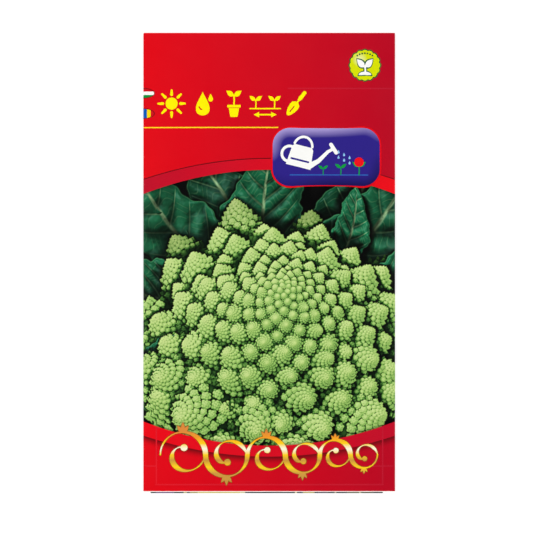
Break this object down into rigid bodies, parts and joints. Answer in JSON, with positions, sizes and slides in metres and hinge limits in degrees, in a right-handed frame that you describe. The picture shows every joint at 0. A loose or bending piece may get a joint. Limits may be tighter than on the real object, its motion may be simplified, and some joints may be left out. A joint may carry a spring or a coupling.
{
  "type": "seed packet",
  "caption": "Paper seed packet: one printed sheet folded and glued into a flat sealed pouch, with loose vegetable seeds inside.",
  "frame": {"origin": "middle of the packet's footprint, on the surface it lies on", "axes": "+Z out of the printed front, +Y towards the packet's top edge, +X to the reader's right"},
  "size_m": [0.08, 0.1464, 0.0032],
  "materials": {
    "front_print": "satin coated print",
    "back_print": "satin coated print",
    "paste": "dried paste",
    "seed_coat": "matt seed coat"
  },
  "bodies": {
    "root": {"front_panel": "front_print", "back_panel": "back_print", "side_seam_lap": "back_print", "bottom_flap": "back_print", "top_flap": "back_print", "side_seam_glue": "paste", "bottom_flap_glue": "paste", "top_flap_glue": "paste", "seed_01": "seed_coat", "seed_02": "seed_coat", "seed_03": "seed_coat", "seed_04": "seed_coat", "seed_05": "seed_coat", "seed_06": "seed_coat", "seed_07": "seed_coat", "seed_08": "seed_coat", "seed_09": "seed_coat", "seed_10": "seed_coat", "seed_11": "seed_coat", "seed_12": "seed_coat", "seed_13": "seed_coat", "seed_14": "seed_coat", "seed_15": "seed_coat", "seed_16": "seed_coat", "seed_17": "seed_coat", "seed_18": "seed_coat", "seed_19": "seed_coat", "seed_20": "seed_coat", "seed_21": "seed_coat", "seed_22": "seed_coat", "seed_23": "seed_coat", "seed_24": "seed_coat", "seed_25": "seed_coat", "seed_26": "seed_coat", "seed_27": "seed_coat", "seed_28": "seed_coat", "seed_29": "seed_coat", "seed_30": "seed_coat", "seed_31": "seed_coat", "seed_32": "seed_coat", "seed_33": "seed_coat", "seed_34": "seed_coat", "seed_35": "seed_coat", "seed_36": "seed_coat", "seed_37": "seed_coat", "seed_38": "seed_coat", "seed_39": "seed_coat", "seed_40": "seed_coat", "seed_41": "seed_coat", "seed_42": "seed_coat", "seed_43": "seed_coat", "seed_44": "seed_coat", "seed_45": "seed_coat", "seed_46": "seed_coat", "seed_47": "seed_coat", "seed_48": "seed_coat", "seed_49": "seed_coat", "seed_50": "seed_coat"}
  },
  "joints": []
}
